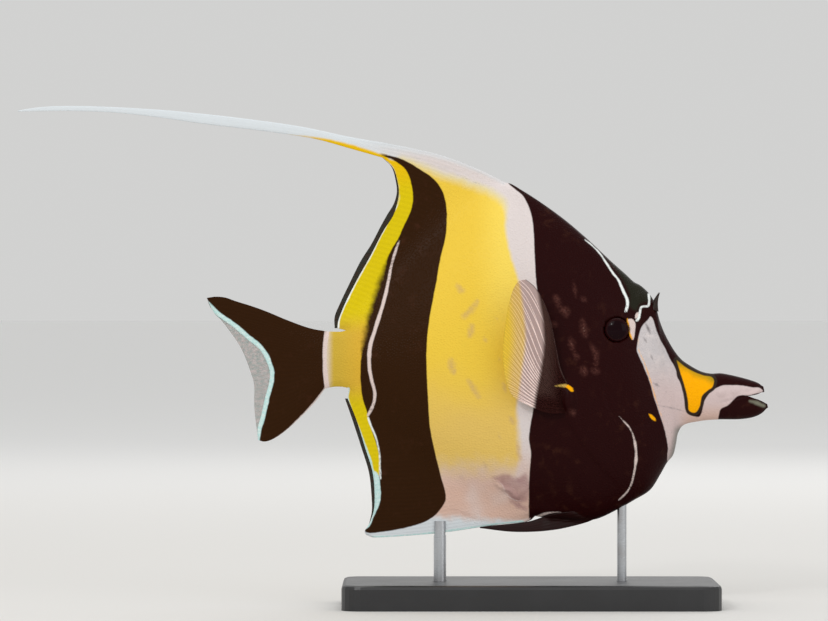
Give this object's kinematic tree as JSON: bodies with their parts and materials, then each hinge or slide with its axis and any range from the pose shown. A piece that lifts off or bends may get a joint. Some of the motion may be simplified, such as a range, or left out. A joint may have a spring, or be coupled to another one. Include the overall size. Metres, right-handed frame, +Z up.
{
  "type": "moorish idol fish",
  "caption": "Life-size still model of a moorish idol fish with a long trailing dorsal filament, held above a flat base by slim rods.",
  "frame": {"origin": "middle of the display base's underside", "axes": "+X towards the snout, +Z up, Y = 0 is the plane of symmetry, right flank at -Y"},
  "size_m": [0.2396, 0.056, 0.16],
  "materials": {
    "skin_front_band": "moist satin skin",
    "skin_yellow_band": "moist satin skin",
    "skin_gold": "moist satin skin",
    "skin_white": "moist satin skin",
    "skin_rear_band": "moist satin skin",
    "skin_snout": "moist satin skin",
    "fin_membrane": "thin translucent fin membrane",
    "eye": "clear gloss",
    "horn": "satin",
    "stand_base": "satin black",
    "stand_rod": "brushed"
  },
  "bodies": {
    "root": {"head": "skin_front_band", "trunk": "skin_yellow_band", "tail_peduncle": "skin_gold", "upper_jaw": "skin_snout", "lower_jaw": "skin_snout", "dorsal_fin": "skin_yellow_band", "dorsal_filament": "skin_white", "anal_fin": "skin_rear_band", "caudal_fin": "skin_rear_band", "pectoral_fin_right": "fin_membrane", "pectoral_fin_left": "fin_membrane", "pelvic_fin_right": "skin_front_band", "pelvic_fin_left": "skin_front_band", "eye_right": "eye", "eye_left": "eye", "horn_right": "horn", "horn_left": "horn", "stand_base": "stand_base", "stand_rod_front": "stand_rod", "stand_rod_rear": "stand_rod"}
  },
  "joints": []
}
